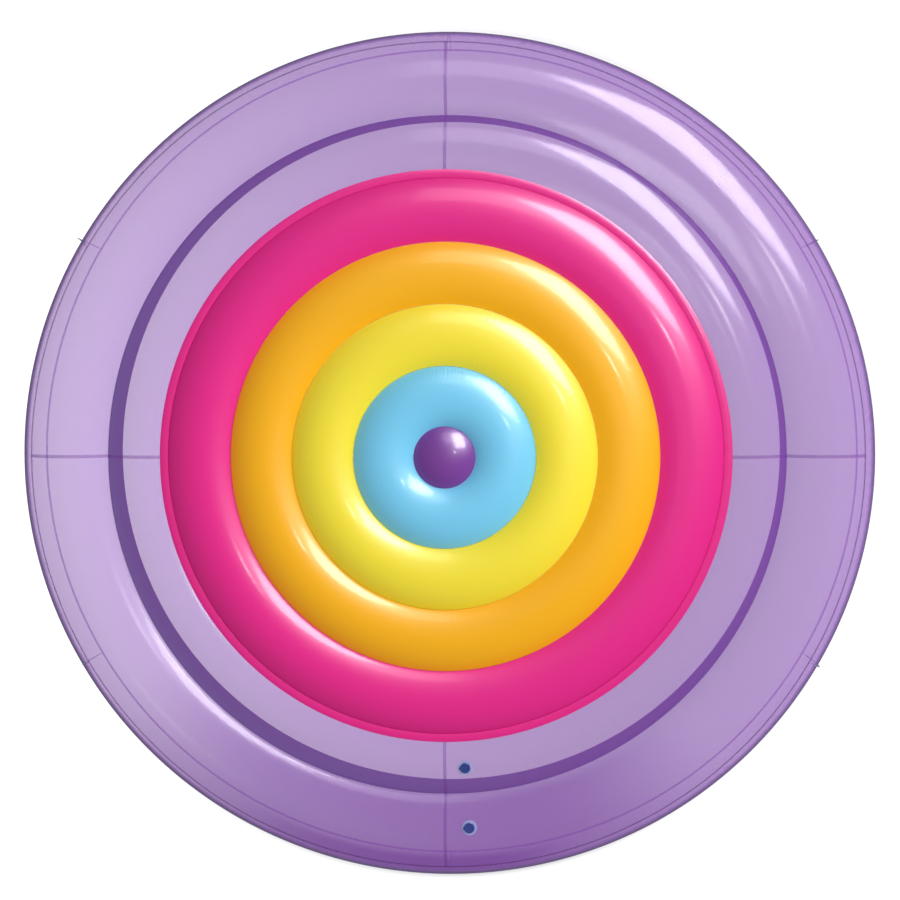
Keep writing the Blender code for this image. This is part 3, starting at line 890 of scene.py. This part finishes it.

# %% [markdown]
# ## Ground, light and camera
# The photograph looks straight down from nearly five metres, from a spot a little to the upper right of the
# float, and shifts the lens to bring the float back into the middle. A large soft light stands close by on
# that side and gives every puff its highlight. The float lies on a pale sheet that is lit from below, as
# clear things often are for a picture: it throws hardly a shadow, and the film glows. Under the float the
# glow is painted uneven. Painted light makes it stronger on the left, and stronger at the left and right than
# at the top and the bottom. A painted shade lies under the lower side and is deepest close to the rim; it is
# no cast shadow. The gloss of the film doesn't mirror the sheet, which would make the rim's dark outline
# pale.

# %% Ground
open_glow = 0.94
# How much painted light and painted shade lie in the sheet's glow under the float.
left_painted_light, saddle_painted_light = 0.26, 0.2
shade_depth, rim_shade_depth = 0.5, 0.25
slant = 0.12
glow_edge = (0.955, 0.925)
lower_side, lowest = (0.65, 0.97), (0.9, 1.0)
tube_start = (0.735, 0.785)
rim_start, rim_end = (0.888, 0.908), (0.94, 0.928)

ground_look = bpy.data.materials.new("glowing_ground")
ground_look.use_nodes = True
tree = ground_look.node_tree
shader = tree.nodes["Principled BSDF"]
shader.inputs["Base Color"].default_value = (0.25, 0.25, 0.25, 1)
shader.inputs["Roughness"].default_value = 0.9
shader.inputs["Specular IOR Level"].default_value = 0
shader.inputs["Emission Color"].default_value = (1, 1, 1, 1)
place = tree.nodes.new("ShaderNodeTexCoord")
parts = tree.nodes.new("ShaderNodeSeparateXYZ")
tree.links.new(place.outputs["Object"], parts.inputs["Vector"])
x, y = parts.outputs["X"], parts.outputs["Y"]
x_squared, y_squared = maths(tree, "MULTIPLY", x, x), maths(tree, "MULTIPLY", y, y)
radius = maths(tree, "SQRT", maths(tree, "ADD", x_squared, y_squared))
saddle = maths(tree, "SUBTRACT", x_squared, y_squared)
# Painted light: the glow is brighter on the left, and brighter at the left and right than at the top and the
# bottom.
painted_brightness_tilt = maths(tree, "MULTIPLY_ADD", saddle, saddle_painted_light, maths(tree, "MULTIPLY", x, -left_painted_light))
under_float = soft_step(tree, radius, *glow_edge)
# Painted shade: the glow is dimmed under the lower side of the tube, and dimmed further close to the rim
# there.
aslant = maths(tree, "MULTIPLY_ADD", x, slant, y)
downwards = maths(tree, "DIVIDE", aslant, maths(tree, "MULTIPLY", radius, -1.0))
under_tube = soft_step(tree, radius, *tube_start)
shade = maths(tree, "MULTIPLY", soft_step(tree, downwards, *lower_side), under_tube)
shaded = maths(tree, "MULTIPLY_ADD", shade, -shade_depth, painted_brightness_tilt)
near_rim = maths(tree, "MULTIPLY", soft_step(tree, radius, *rim_start), soft_step(tree, radius, *rim_end))
rim_shade = maths(tree, "MULTIPLY", soft_step(tree, downwards, *lowest), near_rim)
painted_light_and_shade = maths(tree, "MULTIPLY_ADD", rim_shade, -rim_shade_depth, shaded)
glow = maths(tree, "MULTIPLY_ADD", painted_light_and_shade, under_float, open_glow)
tree.links.new(glow, shader.inputs["Emission Strength"])

bpy.ops.mesh.primitive_plane_add(size=16, location=(0, 0, -0.002))
ground = bpy.context.object
ground.name = "ground"
ground.data.materials.append(ground_look)
ground.visible_glossy = False

# %% Light and camera


def aimed(made, place, back):
    """Put an object at a place, with its Z along back and its Y as near +Y as it can be."""
    back = unit(np.array(back, float))
    side = unit(np.cross((0, 1, 0), back))
    turn = np.eye(4)
    turn[:3] = np.stack([side, np.cross(back, side), back, place], -1)
    made.matrix_world = mathutils.Matrix(turn)


def light(name, kind, place, target, power, **settings):
    """A light at a place that shines on a target. The camera doesn't see it."""
    data = bpy.data.lights.new(name, kind)
    data.energy = power
    for setting, value in settings.items():
        setattr(data, setting, value)
    made = bpy.data.objects.new(name, data)
    bpy.context.scene.collection.objects.link(made)
    aimed(made, place, np.subtract(place, target))
    made.visible_camera = False
    return made


softboxes = {
    "main_softbox": ((1.12, 1.38, 1.45), 120, (1.0, 1.45)),
    "side_softbox": ((0.25, 1.6, 1.54), 13, (1.0, 1.0)),
    "small_softbox": ((0.96, 0.49, 2.3), 5, (0.14, 0.14)),
}
lit_spot = (0.2, 0.2, 0.2)
for name, (place, power, (wide, long)) in softboxes.items():
    box = light(name, "AREA", place, lit_spot, power, shape="RECTANGLE", size=wide, size_y=long)
    box.visible_diffuse = False
key_power, key_height, key_side = 1.75, math.radians(35), math.radians(22)
level = math.cos(key_height)
key_way = [level * math.cos(key_side), level * math.sin(key_side), math.sin(key_height)]
light("key", "SUN", key_way, (0, 0, 0), key_power, angle=math.radians(40)).visible_glossy = False
fill_power, fill_place, fill_spot = 0.9, (0.25, 0.08, 0.8), (0.15, 0.05, 0.2)
fill = light("middle_fill", "AREA", fill_place, fill_spot, fill_power, shape="DISK", size=0.4)
fill.visible_glossy = False

room_light, room_in_gloss = 0.57, 0.1
world = bpy.data.worlds.new("soft_white_room")
world.use_nodes = True
room = world.node_tree.nodes["Background"]
room.inputs["Color"].default_value = (1, 1, 1, 1)
is_glossy = world.node_tree.nodes.new("ShaderNodeLightPath").outputs["Is Glossy Ray"]
strength = maths(world.node_tree, "MULTIPLY_ADD", is_glossy, room_in_gloss - room_light, room_light)
world.node_tree.links.new(strength, room.inputs["Strength"])
bpy.context.scene.world = world
bpy.context.scene.view_settings.view_transform = "Standard"
bpy.context.scene.cycles.transparent_max_bounces = 24

picture_width = 900
metres_per_pixel = 0.002166
sensor_width = 36
camera_distance = 4.806
camera_slant = 0.053
camera_aside = camera_slant * camera_distance
view_middle = (0.0013, 0.0052)
view_width = picture_width * metres_per_pixel
camera = bpy.data.objects.new("camera", bpy.data.cameras.new("camera"))
bpy.context.scene.collection.objects.link(camera)
bpy.context.scene.camera = camera
camera.data.sensor_width = sensor_width
camera.data.lens = sensor_width * camera_distance / view_width
camera.data.shift_x = (view_middle[0] - camera_aside) / view_width
camera.data.shift_y = (view_middle[1] - camera_aside) / view_width
aimed(camera, (camera_aside, camera_aside, middle_height + camera_distance), (0, 0, 1))
print("lens", round(camera.data.lens, 1), "mm")
